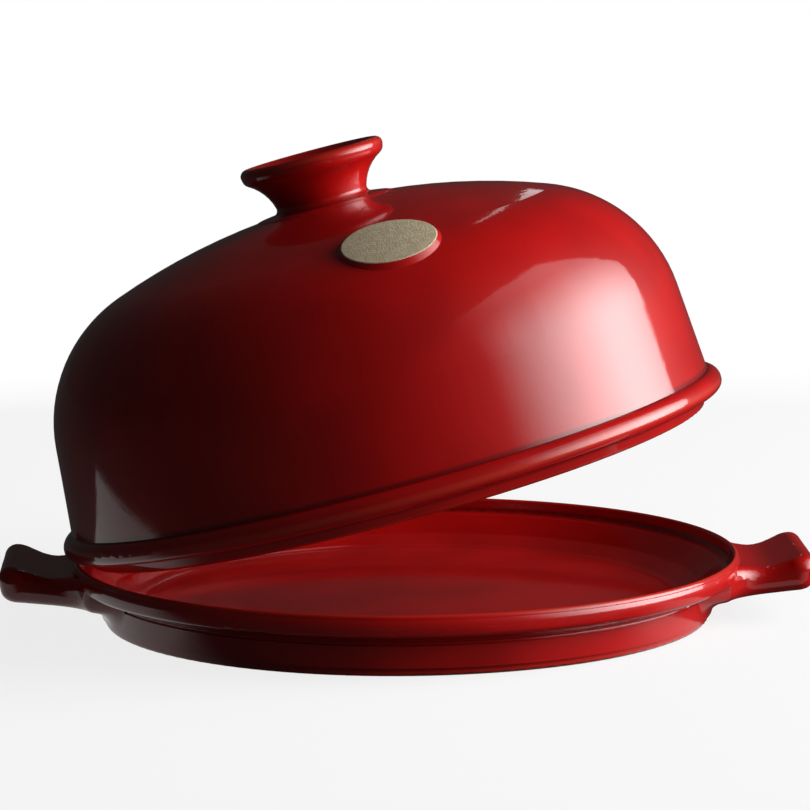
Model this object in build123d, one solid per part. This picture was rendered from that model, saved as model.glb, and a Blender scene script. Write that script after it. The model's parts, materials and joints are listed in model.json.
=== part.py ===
from build123d import *
from math import cos, radians, sin, tan
import os

# A bread cloche in glazed fireclay: a shallow dish with two lug handles, and a domed lid with
# a flared knob and a raised oval medallion. The two pieces are loose and nothing joins them.
# Millimetres, +Z up. The origin is under the middle of the dish, +X runs out over one handle
# and -Y faces the cook. The lid is drawn level about its own axis, with height 0 at the middle
# of its bead, and is then set on the dish and tipped open about one side of the rim.

# Dish, as radii from its axis and heights above the table
DISH_HEIGHT = 26.7
RIM_RADIUS = 140.0
CREST_RADIUS = 137.9
BAND_FOOT = 18.0
COVE_FOOT = 14.3
BODY_RADIUS = 127.9
BELLY_RADIUS = 128.2
BELLY_MIDDLE = 9.0
BELLY_CURVE = 121.0
BELLY_FOOT = 3.5
FOOT_RADIUS = 126.6
FOOT_RING_INNER = 109.5
FOOT_RECESS = 1.5
GROOVE_HEIGHT = 13.4
GROOVE_RADIUS = 0.9
GROOVE_START = 24.0
LEDGE_RADIUS = 132.0
LEDGE_HEIGHT = 20.3
WELL_SHOULDER = 13.2
WELL_FLOOR = 8.4
WELL_RADIUS = 113.0

# Lug handles in plan: a waist between a broad tip and a root that runs out along the rim
HANDLE_REACH = 171.0
TIP_HALF_WIDTH = 37.0
WAIST = 148.0
WAIST_HALF_WIDTH = 31.0
INNER = 100.0
INNER_HALF_WIDTH = 62.0
CORNER = 7.0
KNUCKLE = 8.0
OVERRUN = 5.0

# Lug handles in section: a saddle dips between the rim and the raised pad of the tip
RIM_TOP = 23.9
SADDLE_TOP = 22.9
PAD = 160.0
PAD_TOP = 26.8
TIP_TOP = 29.6
TIP_RAKE = 3.0
SADDLE_FOOT = 11.5
INNER_FOOT = 10.6
TIP_FOOT = 14.2
EDGE = 5.2
ROOT_FILLET = 8.3

# Lid, as radii from its axis and heights above the middle of its bead
WALL = 6.8
WALL_FOOT_RADIUS = 137.2
WALL_FOOT = 5.5
WALL_TAPER = 5.0
SHOULDER = (9.0, 33.0)
SHOULDER_RADIUS = 62.0
CROWN_RADIUS = 271.0
DOME_TOP = 111.8
BEAD_RADIUS = 142.0
BEAD_FLAT = 138.6
BEAD_UNDERSIDE = -3.8
SKIRT_RADIUS = 134.3
SKIRT_BOTTOM = -9.1
SKIRT_WALL = 7.0

# Knob, its outline as radii and depths below the top
KNOB_TOP = 133.4
KNOB_RADIUS = 31.2
KNOB_LIP = (29.8, 6.3)
KNOB_WAIST = (21.9, 13.2)
KNOB_NECK = (19.0, 21.2)
KNOB_CUP = 27.0
KNOB_CUP_DEPTH = 8.0
COLLAR_RADIUS = 28.0
COLLAR_DROP = 0.9
BURIED = 3.0

# Oval medallion on the shoulder
MEDALLION_HALF_WIDTH = 19.7
MEDALLION_HALF_HEIGHT = 16.5
MEDALLION_RADIUS = 95.0
MEDALLION_AZIMUTH = -77.0
MEDALLION_SLOPE = 26.0
MEDALLION_PROUD = 0.9
MEDALLION_DEPTH = 5.0
MEDALLION_FLARE = 4.5

# How the lid sits: level with SEAT_GAP under its bead when shut, and tipped about a point on
# the rim when open, towards TIP_AZIMUTH
SEAT_GAP = 0.3
LID_TIP = 14.5
TIP_AZIMUTH = -11.0
PIVOT_RADIUS = 138.5
PIVOT_HEIGHT = DISH_HEIGHT - 1.0


def turned(area):
    """Turn a flat half section, drawn as radius and height, about the vertical axis."""
    return revolve(Plane.XZ * area, Axis.Z)


def rounded(area, corners):
    """Round the corners of a flat area, given as ((radius, height), fillet) pairs."""
    for point, size in corners:
        corner = area.vertices().sort_by_distance(Vector(*point))[0]
        area = fillet(corner, size)
    return area


def foot_and_band():
    """The turned parts of the dish round its belly: foot ring, cove and rim band."""
    core = BODY_RADIUS - 4
    cove_top = (RIM_RADIUS - 3.2, BAND_FOOT - 0.3)
    band_low = (RIM_RADIUS - 0.4, BAND_FOOT + 1.7)
    band_high = (RIM_RADIUS - 0.7, DISH_HEIGHT - 1.7)
    crest = (CREST_RADIUS, DISH_HEIGHT)
    with BuildSketch() as section:
        with BuildLine():
            Polyline(
                (0, FOOT_RECESS),
                (FOOT_RING_INNER - 2, FOOT_RECESS),
                (FOOT_RING_INNER, 0),
                (FOOT_RADIUS, 0),
                (FOOT_RADIUS, BELLY_FOOT),
                (core, BELLY_FOOT + 3),
                (core, COVE_FOOT),
                (BODY_RADIUS, COVE_FOOT),
            )
            ThreePointArc((BODY_RADIUS, COVE_FOOT), (BODY_RADIUS + 2.6, BAND_FOOT - 1.6), cove_top)
            ThreePointArc(cove_top, (RIM_RADIUS - 1.1, BAND_FOOT + 0.4), band_low)
            ThreePointArc(band_low, (RIM_RADIUS, BAND_FOOT + 4.3), band_high)
            ThreePointArc(band_high, (RIM_RADIUS - 1.2, DISH_HEIGHT - 0.5), crest)
            Polyline(crest, (0, DISH_HEIGHT), (0, FOOT_RECESS))
        make_face()
    return turned(rounded(section.sketch, [((FOOT_RADIUS, 0), 1.3)]))


def belly():
    """A drum with the belly's gently bulged side, running past the dish at both ends."""
    low, high = -10, 40
    side = [
        (BELLY_RADIUS - (height - BELLY_MIDDLE) ** 2 / (2 * BELLY_CURVE), height)
        for height in (low, BELLY_MIDDLE, high)
    ]
    with BuildSketch() as section:
        with BuildLine():
            ThreePointArc(*side)
            Polyline(side[2], (0, high), (0, low), side[0])
        make_face()
    return turned(section.sketch)


def dish_hollow():
    """The dish's inside: rim wall, ledge that the lid drops onto, and well."""
    above = DISH_HEIGHT + 20
    lip = (CREST_RADIUS - 1.3, DISH_HEIGHT - 0.9)
    wall_foot = (CREST_RADIUS - 1.7, LEDGE_HEIGHT + 0.9)
    ledge = (LEDGE_RADIUS, LEDGE_HEIGHT)
    shoulder = (LEDGE_RADIUS - 9, WELL_SHOULDER)
    floor = (WELL_RADIUS, WELL_FLOOR)
    with BuildSketch() as section:
        with BuildLine():
            Polyline(
                (CREST_RADIUS - 0.2, above),
                (CREST_RADIUS - 0.2, DISH_HEIGHT),
                lip,
                wall_foot,
                ledge,
                shoulder,
                floor,
                (0, WELL_FLOOR - 0.4),
                (0, above),
                close=True,
            )
        make_face()
    corners = [(lip, 1.0), (wall_foot, 2.2), (ledge, 2.0), (shoulder, 6.0), (floor, 12.0)]
    return turned(rounded(section.sketch, corners))


def lug_outline():
    """Plan of the +X handle: it narrows from the tip to a waist, then turns out along the rim."""
    beyond = HANDLE_REACH + OVERRUN
    flare = TIP_HALF_WIDTH - WAIST_HALF_WIDTH
    outer_radius = ((HANDLE_REACH - WAIST) ** 2 + flare**2) / (2 * flare)
    broad = WAIST_HALF_WIDTH + outer_radius - (outer_radius**2 - (beyond - WAIST) ** 2) ** 0.5
    rim_gap = RIM_RADIUS - WAIST_HALF_WIDTH
    inner_radius = (WAIST**2 + WAIST_HALF_WIDTH**2 - RIM_RADIUS**2) / (2 * rim_gap)
    centre = Vector(WAIST, WAIST_HALF_WIDTH + inner_radius)
    touch = centre * (RIM_RADIUS / centre.length)
    with BuildSketch() as plan:
        with BuildLine():
            Line((beyond, -broad), (beyond, broad))
            for side in (-1, 1):
                waist = (WAIST, side * WAIST_HALF_WIDTH)
                root = (touch.X, side * touch.Y)
                RadiusArc((beyond, side * broad), waist, side * outer_radius)
                RadiusArc(waist, root, side * inner_radius)
                Line(root, (INNER, side * INNER_HALF_WIDTH))
            Line((INNER, -INNER_HALF_WIDTH), (INNER, INNER_HALF_WIDTH))
        make_face()
    return rounded(plan.sketch, [((touch.X, side * touch.Y), KNUCKLE) for side in (-1, 1)])


def lug_section():
    """Radial section of a handle: a saddle on top, a raked end, an underside that rises to it."""
    tip_foot = (HANDLE_REACH - TIP_RAKE, TIP_FOOT)
    with BuildSketch() as section:
        with BuildLine():
            Spline(
                (INNER, RIM_TOP),
                (RIM_RADIUS - 12, RIM_TOP + 0.8),
                (RIM_RADIUS - 2, RIM_TOP),
                (WAIST, SADDLE_TOP),
                (PAD, PAD_TOP),
                (HANDLE_REACH, TIP_TOP),
            )
            Line((HANDLE_REACH, TIP_TOP), tip_foot)
            ThreePointArc(tip_foot, (WAIST, SADDLE_FOOT), (INNER, INNER_FOOT))
            Line((INNER, INNER_FOOT), (INNER, RIM_TOP))
        make_face()
    return section.sketch


def lug():
    """The +X handle, its edges rounded as clay is under a running glaze."""
    thick = extrude(Plane.XZ * lug_section(), amount=2 * INNER_HALF_WIDTH, both=True)
    blank = extrude(lug_outline(), amount=2 * TIP_TOP) & thick
    corners = blank.edges().filter_by(lambda e: e.center().X > PAD and abs(e.tangent_at(0.5).Z) > 0.7)
    blank = fillet(corners, CORNER)
    outer = blank.edges().filter_by(lambda e: e.center().X > INNER + 1)
    return fillet(outer.filter_by(lambda e: abs(e.tangent_at(0.5).Z) < 0.7), EDGE)


def groove_arc(side):
    """The cutter for the fine groove over the belly, between the handles on one side."""
    start = Plane.XZ.rotated((0, 0, GROOVE_START + (0 if side > 0 else 180)))
    wire = start * Pos(BODY_RADIUS + GROOVE_RADIUS / 2, GROOVE_HEIGHT) * Circle(GROOVE_RADIUS)
    return revolve(wire, Axis.Z, 180 - 2 * GROOVE_START)


def base_dish():
    """The dish: drum and handles blended, then trimmed to the turned foot, band and hollow."""
    drum = belly()
    handles = [lug(), lug().rotate(Axis.Z, 180)]
    body = drum + handles
    root = new_edges(drum, *handles, combined=body)
    body = fillet(root, ROOT_FILLET)
    room = 2 * HANDLE_REACH + OVERRUN
    above_foot = Pos(0, 0, BELLY_FOOT + room / 2) * Box(room, room, room)
    body = (body & above_foot) + foot_and_band() - dish_hollow()
    return body - groove_arc(1) - groove_arc(-1)


def dome_area(inset):
    """Half section of the dome, drawn this far inside its outer face."""
    foot = WALL_FOOT_RADIUS - inset
    rise = DOME_TOP + 20
    top = foot - (rise - WALL_FOOT) * tan(radians(WALL_TAPER))
    side = make_face(Polyline((0, WALL_FOOT), (foot, WALL_FOOT), (top, rise), (0, rise), close=True))
    crown = Pos(0, DOME_TOP - CROWN_RADIUS) * Circle(CROWN_RADIUS - inset)
    corner = (foot - SHOULDER[0], DOME_TOP - SHOULDER[1])
    return rounded(side & crown, [(corner, SHOULDER_RADIUS - inset)])


def rim_area():
    """Half section of the lid's rim: the bead, and under it the skirt that drops in the dish."""
    inner = (WALL_FOOT_RADIUS - WALL, WALL_FOOT)
    bead_top = (WALL_FOOT_RADIUS, WALL_FOOT)
    bead_out = (BEAD_RADIUS, 0)
    bead_flat = (BEAD_FLAT, BEAD_UNDERSIDE)
    step = (SKIRT_RADIUS, BEAD_UNDERSIDE)
    skirt_out = (SKIRT_RADIUS - 2.0, SKIRT_BOTTOM)
    skirt_in = (SKIRT_RADIUS - SKIRT_WALL, SKIRT_BOTTOM)
    with BuildSketch() as section:
        with BuildLine():
            Line(inner, bead_top)
            ThreePointArc(bead_top, (BEAD_RADIUS - 1.1, 3.4), bead_out)
            ThreePointArc(bead_out, (BEAD_RADIUS - 0.9, -2.6), bead_flat)
            Polyline(bead_flat, step, skirt_out, skirt_in, inner)
        make_face()
    return rounded(section.sketch, [(step, 0.6), (skirt_out, 1.6), (skirt_in, 1.6)])


def knob_point(place):
    """A point of the knob's outline, from its radius and its depth below the top."""
    return (place[0], KNOB_TOP - place[1])


def knob_area():
    """Half section of the knob: low collar, waisted neck, full rounded lip and cupped top."""
    rim = (KNOB_RADIUS, KNOB_TOP)
    lip = knob_point(KNOB_LIP)
    neck = knob_point(KNOB_NECK)
    collar = (COLLAR_RADIUS, DOME_TOP - COLLAR_DROP)
    buried = DOME_TOP - BURIED
    with BuildSketch() as section:
        with BuildLine():
            Polyline((0, KNOB_TOP), (0, buried), (COLLAR_RADIUS + 4, buried), collar, neck)
            ThreePointArc(neck, knob_point(KNOB_WAIST), lip)
            Polyline(lip, rim, (0, KNOB_TOP))
        make_face()
    cup_radius = (KNOB_CUP**2 + KNOB_CUP_DEPTH**2) / (2 * KNOB_CUP_DEPTH)
    cup = Pos(0, KNOB_TOP - KNOB_CUP_DEPTH + cup_radius) * Circle(cup_radius)
    cupped = rounded(section.sketch, [(collar, 8.0), (neck, 2.2), (lip, 3.5)]) - cup
    return rounded(cupped, [(rim, 2.9), ((KNOB_CUP, KNOB_TOP), 1.0)])


def medallion():
    """A flat-topped oval stud with flared flanks, sunk in the dome's shoulder."""
    azimuth = radians(MEDALLION_AZIMUTH)
    slope = radians(MEDALLION_SLOPE)
    outward = Vector(cos(azimuth), sin(azimuth), 0)
    centre_height = DOME_TOP - CROWN_RADIUS + (CROWN_RADIUS**2 - MEDALLION_RADIUS**2) ** 0.5
    normal = outward * sin(slope) + Vector(0, 0, cos(slope))
    middle = outward * MEDALLION_RADIUS + Vector(0, 0, centre_height) + normal * MEDALLION_PROUD
    face = Plane(origin=middle, x_dir=Vector(-sin(azimuth), cos(azimuth), 0), z_dir=normal)
    top = face * Ellipse(MEDALLION_HALF_WIDTH, MEDALLION_HALF_HEIGHT)
    root = face.offset(-MEDALLION_DEPTH) * Ellipse(
        MEDALLION_HALF_WIDTH + MEDALLION_FLARE, MEDALLION_HALF_HEIGHT + MEDALLION_FLARE
    )
    return loft([top.face(), root.face()])


def lid():
    """The lid, level about its own axis."""
    section = dome_area(0) + rim_area() + knob_area() - dome_area(WALL)
    return turned(section) + medallion()


def tipped(part):
    """Set the level lid on the rim, then tip it open about the pivot."""
    azimuth = radians(TIP_AZIMUTH)
    pivot = Vector(-PIVOT_RADIUS * cos(azimuth), -PIVOT_RADIUS * sin(azimuth), PIVOT_HEIGHT)
    hinge = Axis(pivot, Vector(sin(azimuth), -cos(azimuth), 0))
    seated = Pos(0, 0, DISH_HEIGHT + SEAT_GAP - BEAD_UNDERSIDE) * part
    return seated.rotate(hinge, LID_TIP)


if __name__ == "__main__":
    os.makedirs("parts", exist_ok=True)
    for name, part in {"base_dish": base_dish(), "lid": tipped(lid())}.items():
        export_step(part, f"parts/{name}.step")
        print(name, "volume", round(part.volume / 1000), "cm3")
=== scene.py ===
# %% [markdown]
# # A bread cloche in red glazed stoneware
# A cloche is two loose pieces of fired clay: a shallow dish with a handle on each side, and a
# domed lid with a knob. The lid stands tipped open here, with its rim resting on the dish.
# The exact shapes come from the CAD model, which is already right, so this lesson is about
# what CAD doesn't hold: a running glaze, bare clay, and the light of a small studio.

# %% Load the fixed frame
import bpy
import json
import math
from mathutils import Matrix, Vector


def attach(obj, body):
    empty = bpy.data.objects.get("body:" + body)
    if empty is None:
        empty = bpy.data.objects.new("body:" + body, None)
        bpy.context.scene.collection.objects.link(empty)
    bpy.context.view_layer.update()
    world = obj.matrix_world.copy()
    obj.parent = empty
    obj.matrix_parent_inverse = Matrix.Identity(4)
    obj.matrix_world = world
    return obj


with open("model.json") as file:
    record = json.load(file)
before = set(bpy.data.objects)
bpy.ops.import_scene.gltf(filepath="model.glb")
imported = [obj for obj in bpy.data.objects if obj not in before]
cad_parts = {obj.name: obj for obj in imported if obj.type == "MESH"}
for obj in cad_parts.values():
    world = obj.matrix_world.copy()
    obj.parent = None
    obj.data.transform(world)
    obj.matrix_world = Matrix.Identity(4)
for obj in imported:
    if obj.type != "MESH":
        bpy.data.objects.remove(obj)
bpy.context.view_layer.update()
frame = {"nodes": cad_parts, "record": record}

# %% [markdown]
# ## The camera first
# The picture was taken with a long lens from nearly two metres away and a little above the
# table, so the rims are flat ovals and the two handles look equally large. A camera could be
# pointed by a constraint, but a matrix built from three angles says plainly how far it is
# turned aside, looks down and leans. It comes first, because everything else is judged by it.

# %% Camera
PICTURE = 810
TURN = math.radians(2.0)
LOOK_DOWN = math.radians(8.39)
LEAN = math.radians(0.55)
DISTANCE = 1.8
HEIGHT = 0.3539
FOCAL_PIXELS = 4354
SHIFT_PIXELS = 1.7
SENSOR_WIDTH = 36

camera_data = bpy.data.cameras.new("long_lens")
camera = bpy.data.objects.new("camera", camera_data)
bpy.context.scene.collection.objects.link(camera)
bpy.context.scene.camera = camera
camera.location = (-DISTANCE * math.sin(TURN), -DISTANCE * math.cos(TURN), HEIGHT)
aim = Matrix.Rotation(-TURN, 4, "Z") @ Matrix.Rotation(math.pi / 2 - LOOK_DOWN, 4, "X")
camera.rotation_euler = (aim @ Matrix.Rotation(-LEAN, 4, "Z")).to_euler()
camera_data.sensor_width = SENSOR_WIDTH
camera_data.lens = SENSOR_WIDTH * FOCAL_PIXELS / PICTURE
camera_data.shift_y = SHIFT_PIXELS / PICTURE
print("lens", round(camera_data.lens, 1), "mm at", [round(v, 3) for v in camera.location])

# %% [markdown]
# ## Three small helpers
# Colours are written as they look on a screen, in sRGB hex, and Blender wants them linear, so
# one function turns them. A second one adds a shader node with its settings and its links in
# a single line, which keeps a material as short to read as it is to describe. A third makes
# a material with nothing in it yet, ready for those nodes.


# %% Colour, node and material helpers
def linear(hex_colour):
    """An sRGB hex colour as the linear colour that Blender's sockets take."""
    out = []
    for i in (0, 2, 4):
        v = int(hex_colour[i:i + 2], 16) / 255
        out.append(v / 12.92 if v <= 0.04045 else ((v + 0.055) / 1.055) ** 2.4)
    return (*out, 1.0)


def add(tree, kind, links=None, values=None, **settings):
    """Add a node with its settings, its sockets' values and the links into its sockets."""
    node = tree.nodes.new(kind)
    for name, value in settings.items():
        setattr(node, name, value)
    for socket, value in (values or {}).items():
        node.inputs[socket].default_value = value
    for socket, source in (links or {}).items():
        tree.links.new(source, node.inputs[socket])
    return node


def material(name):
    """A new material with an empty node tree."""
    made = bpy.data.materials.new(name)
    made.use_nodes = True
    made.node_tree.nodes.clear()
    return made, made.node_tree


print("C40D0C is", [round(v, 4) for v in linear("C40D0C")])

# %% [markdown]
# ## Helpers for patterns
# A pattern is a number that changes from place to place. Four helpers work on such numbers:
# one does a sum on two of them, one multiplies several, one leads a number smoothly from one
# range to another, and one mixes two colours by it. Blender has a colour ramp node too, but
# a range with two named ends is easier to read and to change. A noise keeps near a half, so
# two spans say how much of it is stretched to the full range: the narrow one gives patches
# with more contrast, and the wide one a gentler change.

# %% Pattern helpers
NARROW_SPAN = (0.35, 0.65)
WIDE_SPAN = (0.3, 0.7)


def maths(tree, operation, first, second):
    """One maths node on two sockets, or on a socket and a number."""
    node = add(tree, "ShaderNodeMath", {0: first}, operation=operation)
    if isinstance(second, float):
        node.inputs[1].default_value = second
    else:
        tree.links.new(second, node.inputs[1])
    return node.outputs[0]


def product(tree, factors):
    """Multiply several sockets together."""
    result, *others = factors
    for factor in others:
        result = maths(tree, "MULTIPLY", result, factor)
    return result


def ramp(tree, value, low, high, to_low=0.0, to_high=1.0):
    """Lead a value smoothly from one range to another."""
    spans = {"From Min": low, "From Max": high, "To Min": to_low, "To Max": to_high}
    links = {"Value": value}
    node = add(tree, "ShaderNodeMapRange", links, spans, interpolation_type="SMOOTHSTEP")
    return node.outputs["Result"]


def mixed(tree, factor, first, second):
    """Mix two colours, each a socket or a hex colour, and return the result."""
    node = add(tree, "ShaderNodeMix", {0: factor}, data_type="RGBA")
    for socket, colour in ((6, first), (7, second)):
        if isinstance(colour, str):
            node.inputs[socket].default_value = linear(colour)
        else:
            tree.links.new(colour, node.inputs[socket])
    return node.outputs[2]


print("pattern helpers:", [helper.__name__ for helper in (maths, product, ramp, mixed)])

# %% [markdown]
# ## The lid's level frame
# The lid was turned on a wheel, so its creases and edges are circles about its own axis. It
# stands tipped in the model, and a pattern that follows those circles needs the lid's level
# frame back. The joint that tips the lid gives the point and the axis, and its lower limit is
# the angle back to shut. The matrix below leads from the level lid to where it stands.

# %% From the level lid to the tipped one
SEATED = 0.0308
tilt = next(j for j in frame["record"]["behaviour"]["joints"] if j["name"] == "lid_tilt")
pivot = Vector(tilt["pos_m"])
open_angle = math.radians(-min(tilt["range_deg"]))
tipping = Matrix.Rotation(open_angle, 4, Vector(tilt["axis"]))
lid_stand = (
    Matrix.Translation(pivot) @ tipping @ Matrix.Translation(Vector((0, 0, SEATED)) - pivot)
)
print("lid axis leans", round(math.degrees(open_angle), 1), "degrees")

# %% [markdown]
# ## Red stoneware glaze
# The glaze is a layer of coloured glass, dipped or sprayed on and melted at over 1000 degrees.
# It runs while it is hot: it draws thin over edges, where the paler body shines through and
# the red turns brighter, and it gathers in creases, where it turns deeper. Its skin isn't
# flat: shallow waves from the wheel, some 40 mm long, and a fine orange peel of about 2 mm
# bend the reflections a little. A weak, rough coat over the clear gloss puts a faint haze
# round each highlight, as tiny bubbles in the glass do. A plain red with a gloss has none of
# this and looks like plastic. A painted map could hold it all, but the edges are circles of
# known radius and height, so the distance to each circle is worked out in the shader, and the
# pattern stays exact.

# %% Colours and measures of the glaze
DEEP_RED = "C40D0C"
DARK_RED = "B40A09"
THIN_RED = "C9301F"
POOLED_RED = "5E0306"
FIRECLAY = "BFAE8E"
GLASS_IOR = 1.5
SMOOTHEST = 0.05
ROUGHEST = 0.09
HAZE_WEIGHT = 0.3
HAZE_ROUGHNESS = 0.45
BARE_ROUGHNESS = 0.9
WAVE_LENGTH = 0.04
WAVE_DEPTH = 0.00008
PEEL_LENGTH = 0.0022
PEEL_DEPTH = 0.00002
print("waves", 1000 * WAVE_LENGTH, "mm long, peel", 1000 * PEEL_LENGTH, "mm")


# %% Thin and pooled glaze along circles
def turned_profile(tree, where, stand):
    """Each place's radius and height in a piece's level frame, and the height by itself."""
    place = {"Location": stand.to_translation(), "Rotation": stand.to_euler()}
    turn_back = add(tree, "ShaderNodeMapping", {"Vector": where}, place, vector_type="TEXTURE")
    level = turn_back.outputs[0]
    flat = add(tree, "ShaderNodeVectorMath", {0: level}, {1: (1, 1, 0)}, operation="MULTIPLY")
    radius = add(tree, "ShaderNodeVectorMath", {0: flat.outputs[0]}, operation="LENGTH")
    height = add(tree, "ShaderNodeSeparateXYZ", {0: level}).outputs["Z"]
    profile = add(tree, "ShaderNodeCombineXYZ", {"X": radius.outputs["Value"], "Y": height})
    return profile.outputs[0], height


def tint_circles(tree, colour, profile, circles, full_share=0.2, strongest=0.7):
    """Tint a colour near each circle, at its strongest within a share of the circle's reach."""
    for radius, height, reach, tint in circles.values():
        middle = {1: (radius, height, 0)}
        gap = add(tree, "ShaderNodeVectorMath", {0: profile}, middle, operation="DISTANCE")
        near = ramp(tree, gap.outputs["Value"], reach, full_share * reach, to_high=strongest)
        colour = mixed(tree, near, colour, tint)
    return colour


print("tints:", THIN_RED, "where thin and", POOLED_RED, "where pooled")


# %% The whole glaze
def red_glaze(name, stand, circles, bare_below=None):
    """The glaze of one piece, bare under a height in its level frame where one is given."""
    glaze, tree = material(name)
    where = add(tree, "ShaderNodeTexCoord").outputs["Object"]
    profile, height = turned_profile(tree, where, stand)
    noise = {"Scale": 1 / WAVE_LENGTH, "Detail": 1}
    waves = add(tree, "ShaderNodeTexNoise", {"Vector": where}, noise).outputs[0]
    noise = {"Scale": 1 / PEEL_LENGTH, "Detail": 1}
    peel = add(tree, "ShaderNodeTexNoise", {"Vector": where}, noise).outputs[0]

    colour = mixed(tree, ramp(tree, waves, *NARROW_SPAN), DARK_RED, DEEP_RED)
    colour = tint_circles(tree, colour, profile, circles)
    gloss = ramp(tree, waves, *WIDE_SPAN, to_low=SMOOTHEST, to_high=ROUGHEST)
    if bare_below is not None:
        bare = ramp(tree, height, bare_below, bare_below / 2)
        colour = mixed(tree, bare, colour, FIRECLAY)
        gloss = add(tree, "ShaderNodeMix", {0: bare, 2: gloss}, {3: BARE_ROUGHNESS}).outputs[0]

    swell = add(tree, "ShaderNodeBump", {"Height": waves}, {"Distance": WAVE_DEPTH})
    links = {"Height": peel, "Normal": swell.outputs[0]}
    skin = add(tree, "ShaderNodeBump", links, {"Distance": PEEL_DEPTH})
    links = {"Base Color": colour, "Roughness": gloss, "Normal": skin.outputs[0]}
    values = {"IOR": GLASS_IOR, "Coat Weight": HAZE_WEIGHT, "Coat Roughness": HAZE_ROUGHNESS}
    shader = add(tree, "ShaderNodeBsdfPrincipled", links, values)
    add(tree, "ShaderNodeOutputMaterial", {"Surface": shader.outputs[0]})
    return glaze


print("glaze has an IOR of", GLASS_IOR, "and a roughness of", SMOOTHEST, "to", ROUGHEST)

# %% [markdown]
# ## Where the glaze is thin or pooled
# Each circle is an edge or a crease of the turned shape: its radius, its height in the piece's
# own level frame, how far its tint reaches, and the tint. Edges are thin and creases pooled.
# They are listed by what they are, so that one can be found and changed by itself. The foot
# ring was wiped clean before the firing, so the dish is bare just above the table.

# %% Circles of the dish and the lid
FOOT_BARE_BELOW = 0.0006
dish_circles = {
    "crest of the rim": (0.1379, 0.0267, 0.0016, THIN_RED),
    "top of the cove under the band": (0.1365, 0.0177, 0.0030, POOLED_RED),
    "groove round the belly": (0.1288, 0.0134, 0.0016, POOLED_RED),
    "outer edge of the foot": (0.1266, 0.0004, 0.0020, THIN_RED),
    "foot of the rim's inner wall": (0.1362, 0.0212, 0.0025, POOLED_RED),
}
lid_circles = {
    "outer edge of the bead": (0.1420, 0.0000, 0.0020, THIN_RED),
    "crease above the bead": (0.1372, 0.0055, 0.0025, POOLED_RED),
    "crease under the bead": (0.1345, -0.0040, 0.0018, POOLED_RED),
    "lower edge of the skirt": (0.1325, -0.0090, 0.0016, THIN_RED),
    "lip of the knob": (0.0306, 0.1322, 0.0022, THIN_RED),
    "edge of the knob's cup": (0.0270, 0.1333, 0.0015, THIN_RED),
    "crease under the knob": (0.0225, 0.1119, 0.0040, POOLED_RED),
}
print("circles:", len(dish_circles), "on the dish and", len(lid_circles), "on the lid")

# %% Glaze both pieces
glazes = {
    "base_dish": red_glaze("dish_stoneware_glaze", Matrix(), dish_circles, FOOT_BARE_BELOW),
    "lid": red_glaze("lid_stoneware_glaze", lid_stand, lid_circles),
}
for name, glaze in glazes.items():
    node = frame["nodes"][name]
    node.data.materials.clear()
    node.data.materials.append(glaze)
    print(name, "wears", glaze.name, "with", len(glaze.node_tree.nodes), "nodes")

# %% [markdown]
# ## The oval of bare clay
# On the dome's shoulder a raised oval is left without glaze, so the clay itself shows: a matte
# sandy buff with dark grains. The glaze creeps up to it and stops just below its edge. The
# CAD model has the raised oval, and this step lays the clay face on it. A mask in the glaze
# could draw it, but a real edge catches the light, so a thin disc is modelled: a circle
# drawn out to an oval, thickened by an extrusion, and its upper edge rounded by a bevel.

# %% Clay oval
HALF_WIDTH = 0.0197
HALF_HEIGHT = 0.0164
SUNK = 0.0008
CLAY_RISE = 0.0004
ROUND_STEPS = 128

bpy.ops.object.select_all(action="DESELECT")
bpy.ops.mesh.primitive_circle_add(vertices=ROUND_STEPS, radius=1, fill_type="NGON")
oval = bpy.context.object
oval.name = "clay_oval"
bpy.ops.object.mode_set(mode="EDIT")
bpy.ops.mesh.select_all(action="SELECT")
bpy.ops.transform.resize(value=(HALF_WIDTH, HALF_HEIGHT, 1))
bpy.ops.transform.translate(value=(0, 0, -SUNK))
bpy.ops.mesh.extrude_region_move(TRANSFORM_OT_translate={"value": (0, 0, SUNK + CLAY_RISE)})
bpy.ops.mesh.select_all(action="SELECT")
bpy.ops.mesh.normals_make_consistent(inside=False)
bpy.ops.object.mode_set(mode="OBJECT")
print("clay oval", [round(1000 * v, 1) for v in oval.dimensions], "mm")

# %% [markdown]
# ## Its rounded edge
# Fingers and the kiln leave no sharp edge on clay. Only the upper edge shows, so only its
# vertices and edges are selected before the bevel. A bevel modifier would round the lower
# edge too, which is sunk in the glaze and never seen.

# %% Round its upper edge
EDGE_ROUND = 0.0006
EDGE_STEPS = 4
SMOOTH_UP_TO = math.radians(40)

for part in (*oval.data.vertices, *oval.data.polygons):
    part.select = False
for edge in oval.data.edges:
    heights = [oval.data.vertices[i].co.z for i in edge.vertices]
    edge.select = min(heights) > 0.9 * CLAY_RISE
    if edge.select:
        for i in edge.vertices:
            oval.data.vertices[i].select = True
bpy.ops.object.mode_set(mode="EDIT")
bpy.ops.mesh.select_mode(type="EDGE")
bpy.ops.mesh.bevel(offset=EDGE_ROUND, segments=EDGE_STEPS, affect="EDGES")
bpy.ops.object.mode_set(mode="OBJECT")
bpy.ops.object.shade_smooth_by_angle(angle=SMOOTH_UP_TO)
print("clay oval has", len(oval.data.polygons), "faces")

# %% [markdown]
# ## Its seat on the shoulder
# The crown is part of a large ball, so its height at the oval's middle follows from the
# ball's radius. The oval leans outwards a little more steeply than the ball does there. It is
# placed on the level lid first and then tipped with it. Typing the final place in would do
# for one picture, but this way it stays right if the oval moves on the lid.

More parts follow.
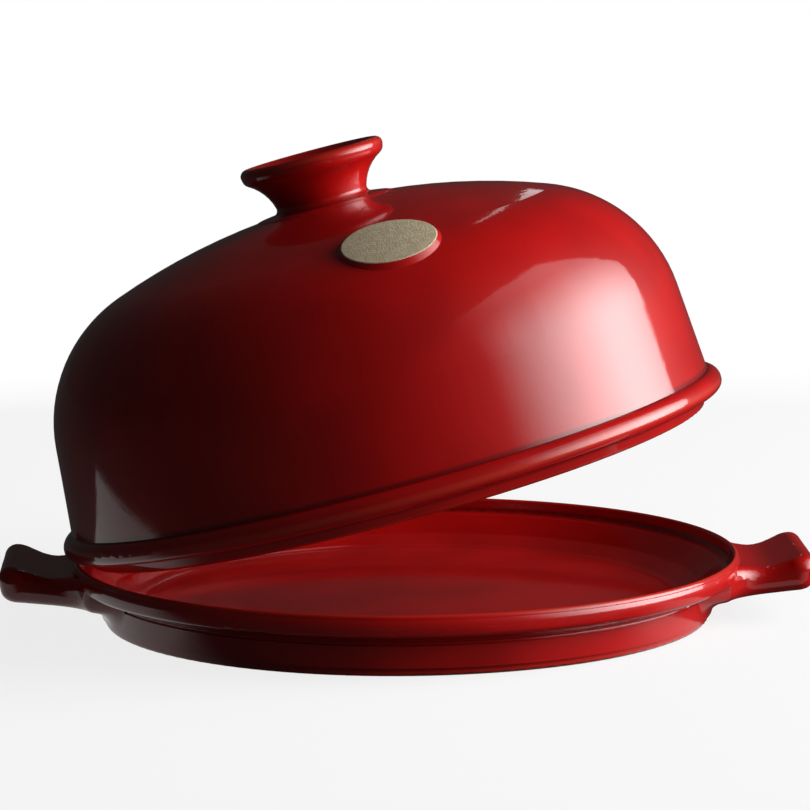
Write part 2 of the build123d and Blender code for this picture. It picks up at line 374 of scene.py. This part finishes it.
# %% Set it on the shoulder
DOME_TOP = 0.1118
CROWN_RADIUS = 0.271
SHOULDER_RADIUS = 0.095
SHOULDER_HEIGHT = DOME_TOP - CROWN_RADIUS + (CROWN_RADIUS ** 2 - SHOULDER_RADIUS ** 2) ** 0.5
OVAL_AZIMUTH = math.radians(-77)
OVAL_SLOPE = math.radians(26)
FACE_PROUD = 0.0009

outward = Vector((math.cos(OVAL_AZIMUTH), math.sin(OVAL_AZIMUTH), 0))
normal = outward * math.sin(OVAL_SLOPE) + Vector((0, 0, math.cos(OVAL_SLOPE)))
across = Vector((-math.sin(OVAL_AZIMUTH), math.cos(OVAL_AZIMUTH), 0))
middle = outward * SHOULDER_RADIUS + Vector((0, 0, SHOULDER_HEIGHT)) + normal * FACE_PROUD
seat = Matrix((across, normal.cross(across), normal)).transposed().to_4x4()
oval.matrix_world = lid_stand @ Matrix.Translation(middle) @ seat
bpy.ops.object.transform_apply(location=True, rotation=True, scale=True)
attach(oval, "lid")
print("clay oval sits", round(1000 * SHOULDER_HEIGHT, 1), "mm up the level lid")

# %% [markdown]
# ## Bare fireclay
# The body under the glaze is a coarse clay with crushed fired clay, or grog, mixed in, so that
# it stands the oven's heat. Unglazed, it is matte and dry, with grains about half a millimetre
# across. They are drawn some 0.7 mm wide and 1.2 mm apart, because finer ones vanish at this
# picture's size. A noise gives the mottled buff, the cores of a cell pattern are the dark
# grains, and a finer noise roughens and pits the skin, which is what takes the shine away.

# %% Bare clay
MOTTLE_SIZE = 0.003
GRAIN_SPACING = 0.0012
GRAIN_EDGE = 0.28
GRAIN_CORE = 0.12
GRAIN_STRENGTH = 0.25
GRIT_SIZE = 0.0008
PIT_DEPTH = 0.00025
DRY_ROUGHNESS = 0.78
DRIEST_ROUGHNESS = 0.95
DARK_BUFF = "D3BF9C"
PALE_BUFF = "DFCFAD"
GRAIN_BROWN = "7A6448"

clay, tree = material("bare_fireclay")
where = add(tree, "ShaderNodeTexCoord").outputs["Object"]
noise = {"Scale": 1 / MOTTLE_SIZE, "Detail": 4}
mottle = add(tree, "ShaderNodeTexNoise", {"Vector": where}, noise).outputs[0]
noise = {"Scale": 1 / GRIT_SIZE, "Detail": 3}
grit = add(tree, "ShaderNodeTexNoise", {"Vector": where}, noise).outputs[0]
cells = add(tree, "ShaderNodeTexVoronoi", {"Vector": where}, {"Scale": 1 / GRAIN_SPACING})
colour = mixed(tree, ramp(tree, mottle, *NARROW_SPAN), DARK_BUFF, PALE_BUFF)
distance = cells.outputs["Distance"]
grain = ramp(tree, distance, GRAIN_EDGE, GRAIN_CORE, to_high=GRAIN_STRENGTH)
colour = mixed(tree, grain, colour, GRAIN_BROWN)
dry = ramp(tree, grit, *WIDE_SPAN, to_low=DRY_ROUGHNESS, to_high=DRIEST_ROUGHNESS)
pits = add(tree, "ShaderNodeBump", {"Height": grit}, {"Distance": PIT_DEPTH})
links = {"Base Color": colour, "Roughness": dry, "Normal": pits.outputs[0]}
shader = add(tree, "ShaderNodeBsdfPrincipled", links)
add(tree, "ShaderNodeOutputMaterial", {"Surface": shader.outputs[0]})
oval.data.materials.append(clay)
print("clay oval wears", clay.name)

# %% [markdown]
# ## The table
# The object stands on a white table that runs on to a white background. A curved sheet would
# do that in a studio. Here one wide disc does, because its far part can simply glow white.

# %% Table disc
FLOOR_RADIUS = 20
FLOOR_SIDES = 64

bpy.ops.object.select_all(action="DESELECT")
bpy.ops.mesh.primitive_circle_add(vertices=FLOOR_SIDES, radius=FLOOR_RADIUS, fill_type="NGON")
floor = bpy.context.object
floor.name = "floor"
print("floor radius", FLOOR_RADIUS, "m")

# %% [markdown]
# ## What the glaze mirrors
# Gloss shows what lies round it, and this glaze mirrors a dark studio with a pale patch of
# table near the dish. So what mirrored rays meet on the table is dark past that patch. Three
# soft, straight edges bound it: each is a direction over the floor, with the places along it
# where the light starts and is full. The floor could be cut to that shape, but then the
# camera would see its edge too.

# %% Lit patch of the table
LIT_EDGES = {
    "far side": ((-0.249, -1, 0), -0.003, 0.006),
    "left end": ((0.946, 0.324, 0), -0.335, -0.300),
    "near side": ((0, 1, 0), -0.12, -0.06),
}
MIRRORED_DARK = 0.03
MIRRORED_PALE = 0.55

paper, tree = material("white_table_top")
rays = add(tree, "ShaderNodeLightPath").outputs
where = add(tree, "ShaderNodeTexCoord").outputs["Object"]
insides = []
for across, start, full in LIT_EDGES.values():
    side = add(tree, "ShaderNodeVectorMath", {0: where}, {1: across}, operation="DOT_PRODUCT")
    insides.append(ramp(tree, side.outputs["Value"], start, full))
inside = product(tree, insides)
patch = ramp(tree, inside, 0.0, 1.0, to_low=MIRRORED_DARK, to_high=MIRRORED_PALE)
mirrored = maths(tree, "MAXIMUM", rays["Is Glossy Ray"], rays["Is Transmission Ray"])
print("the lit patch has", len(insides), "edges")

# %% [markdown]
# ## What the camera sees
# Near the object the table is part lit paper, which takes the shadow, and part plain white
# glow. Away from it the glow takes over, so no horizon line cuts the picture. Both answers
# meet in one shader, which asks what kind of ray has come. The shadow stays. More light could
# whiten the table as well, but it would also wash out the glaze.

# %% White table top
TABLE_WHITE = "F2F2F2"
WHITE_FROM = 0.15
ALL_WHITE_AT = 0.8
LEAST_GLOW_SHARE = 0.82

radius = add(tree, "ShaderNodeVectorMath", {0: where}, operation="LENGTH").outputs["Value"]
seen_far = ramp(tree, radius, WHITE_FROM, ALL_WHITE_AT)
far = maths(tree, "MAXIMUM", mirrored, seen_far)
share = maths(tree, "MAXIMUM", far, LEAST_GLOW_SHARE)
dim = maths(tree, "MULTIPLY", mirrored, patch)
glow = maths(tree, "MAXIMUM", dim, rays["Is Camera Ray"])
lit = add(tree, "ShaderNodeBsdfDiffuse", values={"Color": linear(TABLE_WHITE)})
white = add(tree, "ShaderNodeEmission", {"Strength": glow})
blend = add(tree, "ShaderNodeMixShader", {0: share, 1: lit.outputs[0], 2: white.outputs[0]})
add(tree, "ShaderNodeOutputMaterial", {"Surface": blend.outputs[0]})
floor.data.materials.append(paper)
print("the floor wears", paper.name)

# %% [markdown]
# ## The room
# The studio's walls are dark, or the glaze would mirror them as a grey veil. The camera still
# sees white past the table. One background does both, because it can ask whether the camera
# itself is looking. A white wall would show in the glaze as well.

# %% Room
ROOM = 0.03
world = bpy.data.worlds.new("studio")
bpy.context.scene.world = world
world.use_nodes = True
tree = world.node_tree
tree.nodes.clear()
rays = add(tree, "ShaderNodeLightPath").outputs
level = maths(tree, "MAXIMUM", rays["Is Camera Ray"], ROOM)
sky = add(tree, "ShaderNodeBackground", {"Strength": level})
add(tree, "ShaderNodeOutputWorld", {"Surface": sky.outputs[0]})
print("the walls have", ROOM, "of the backdrop's light")

# %% [markdown]
# ## The softboxes
# One large softbox stands at the right, a little in front, and draws the broad reflection on
# the dome. A narrow strip at the back right draws the thin streak on the crown. A softbox is
# given by the direction in which the object sees it, because that is what places a
# reflection. Its coordinates would say nothing about that.


# %% Softboxes
AIM_HEIGHT = 0.1


def softbox(name, azimuth, elevation, distance, width, height, power):
    """A rectangular area light, seen from the object in this direction and facing it."""
    data = bpy.data.lights.new(name, "AREA")
    data.shape = "RECTANGLE"
    data.size = width
    data.size_y = height
    data.energy = power
    lamp = bpy.data.objects.new(name, data)
    bpy.context.scene.collection.objects.link(lamp)
    a, e = math.radians(azimuth), math.radians(elevation)
    direction = Vector((math.cos(a) * math.cos(e), math.sin(a) * math.cos(e), math.sin(e)))
    lamp.location = Vector((0, 0, AIM_HEIGHT)) + direction * distance
    lamp.rotation_euler = direction.to_track_quat("Z", "Y").to_euler()
    return data


key = softbox(
    "key_softbox", azimuth=-12, elevation=29, distance=1.6, width=2.7, height=1.8, power=166
)
softbox(
    "back_strip", azimuth=83, elevation=30, distance=1.6, width=0.02, height=0.9, power=0.06
)
print("key softbox", key.energy, "W over", key.size, "by", round(key.size_y, 2), "m")

# %% [markdown]
# ## A softbox that fades
# The broad reflection is crisp along the right and fades out to the left, as light does
# through a cloth that is lit from one end. An area light with an even face can't do that, so
# its strength is drawn over its own face. The Parametric output runs from 0 to 1 along its
# two sides: X from the end nearer the camera, Y from the bottom. The far upper corner is cut
# off slantwise, which gives the reflection its slanted upper end.

# %% Light over the key's face
key.use_nodes = True
tree = key.node_tree
tree.nodes.clear()
face = add(tree, "ShaderNodeNewGeometry").outputs["Parametric"]
sides = add(tree, "ShaderNodeSeparateXYZ", {0: face}).outputs
corner = maths(tree, "ADD", sides["X"], sides["Y"])
fades = {
    "near end": ramp(tree, sides["X"], 0.0, 0.68),
    "far end": ramp(tree, sides["X"], 1.1, 0.6, to_low=0.35),
    "bottom": ramp(tree, sides["Y"], 0.0, 0.1),
    "top": ramp(tree, sides["Y"], 0.88, 0.3, to_low=0.15),
    "far upper corner": ramp(tree, corner, 1.66, 1.62),
}
glow = add(tree, "ShaderNodeEmission", {"Strength": product(tree, list(fades.values()))})
add(tree, "ShaderNodeOutputLight", {"Surface": glow.outputs[0]})
print("the key fades at its", ", ".join(fades))

# %% [markdown]
# ## Plain colours
# Blender's usual view softens bright colours as film does, which greys a white background and
# dulls a red glaze. The Standard view shows each colour as it was worked out.

# %% Standard view
bpy.context.scene.view_settings.view_transform = "Standard"
print("view", bpy.context.scene.view_settings.view_transform)
